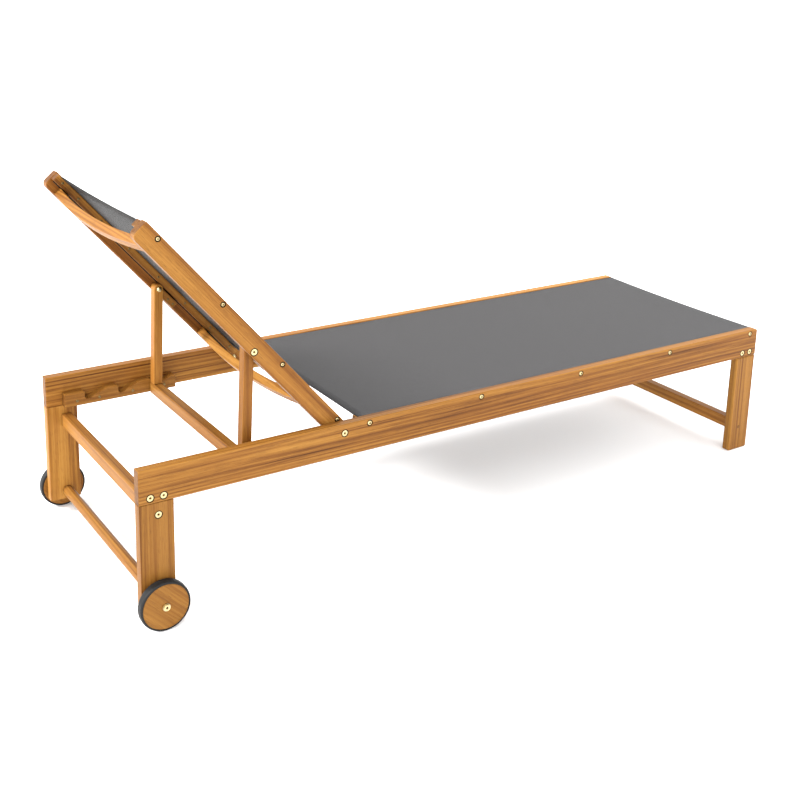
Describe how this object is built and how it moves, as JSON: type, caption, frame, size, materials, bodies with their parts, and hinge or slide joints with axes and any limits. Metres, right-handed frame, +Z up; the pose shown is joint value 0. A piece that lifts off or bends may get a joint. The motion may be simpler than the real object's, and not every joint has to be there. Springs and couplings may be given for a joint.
{
  "type": "reclining sun lounger",
  "caption": "Hardwood sun lounger with woven mesh slings, a backrest that reclines on a folding prop over notched racks, and wheels at its head end.",
  "frame": {"origin": "centre of the bounding box on the floor", "axes": "+X towards the foot end, +Y towards the left side of the person lying on it, +Z up"},
  "size_m": [1.813, 0.6722, 0.846],
  "materials": {
    "wood": "oiled acacia, satin",
    "brass": "yellow passivated",
    "fabric": "woven mesh, matt",
    "tyre": "moulded rubber",
    "nylon": "moulded nylon"
  },
  "bodies": {
    "frame": {"head_crossbar": "wood", "foot_stretcher": "wood", "axle_bar": "wood", "seat_sling": "fabric", "seat_bow_head": "wood", "seat_bow_foot": "wood", "side_rail_right": "wood", "head_leg_right": "wood", "foot_leg_right": "wood", "rack_right": "wood", "seat_batten_right": "wood", "head_rail_bolt_right_1": "brass", "head_rail_bolt_right_2": "brass", "foot_rail_bolt_right_1": "brass", "foot_rail_bolt_right_2": "brass", "crossbar_bolt_right": "brass", "back_pivot_bolt_right": "brass", "back_pivot_nut_right": "brass", "wheel_bolt_right": "brass", "wheel_washer_right": "brass", "wheel_bush_right": "nylon", "side_rail_left": "wood", "head_leg_left": "wood", "foot_leg_left": "wood", "rack_left": "wood", "seat_batten_left": "wood", "head_rail_bolt_left_1": "brass", "head_rail_bolt_left_2": "brass", "foot_rail_bolt_left_1": "brass", "foot_rail_bolt_left_2": "brass", "crossbar_bolt_left": "brass", "back_pivot_bolt_left": "brass", "back_pivot_nut_left": "brass", "wheel_bolt_left": "brass", "wheel_washer_left": "brass", "wheel_bush_left": "nylon"},
    "backrest": {"back_sling": "fabric", "head_bow": "wood", "lumbar_bow": "wood", "back_rail_right": "wood", "back_batten_right": "wood", "prop_stop_right": "wood", "prop_bolt_right": "brass", "prop_nut_right": "brass", "back_rail_left": "wood", "back_batten_left": "wood", "prop_stop_left": "wood", "prop_bolt_left": "brass", "prop_nut_left": "brass"},
    "prop": {"prop_crossbar": "wood", "prop_leg_right": "wood", "prop_leg_left": "wood"},
    "wheel_right": {"wheel_disc_right": "wood", "tyre_right": "tyre"},
    "wheel_left": {"wheel_disc_left": "wood", "tyre_left": "tyre"}
  },
  "joints": [
    {"name": "backrest_recline", "type": "hinge", "parent": "frame", "child": "backrest", "pos_m": [-0.41945, 0, 0.329], "axis": [0, -1, 0], "range_deg": [-20, 48.5]},
    {"name": "prop_swing", "type": "hinge", "parent": "backrest", "child": "prop", "pos_m": [-0.62449, 0, 0.54415], "axis": [0, 1, 0], "range_deg": [0, 132]},
    {"name": "wheel_right_spin", "type": "hinge", "parent": "frame", "child": "wheel_right", "pos_m": [-0.85205, -0.3206, 0.0545], "axis": [0, 1, 0], "continuous": true},
    {"name": "wheel_left_spin", "type": "hinge", "parent": "frame", "child": "wheel_left", "pos_m": [-0.85205, 0.3206, 0.0545], "axis": [0, 1, 0], "continuous": true}
  ]
}
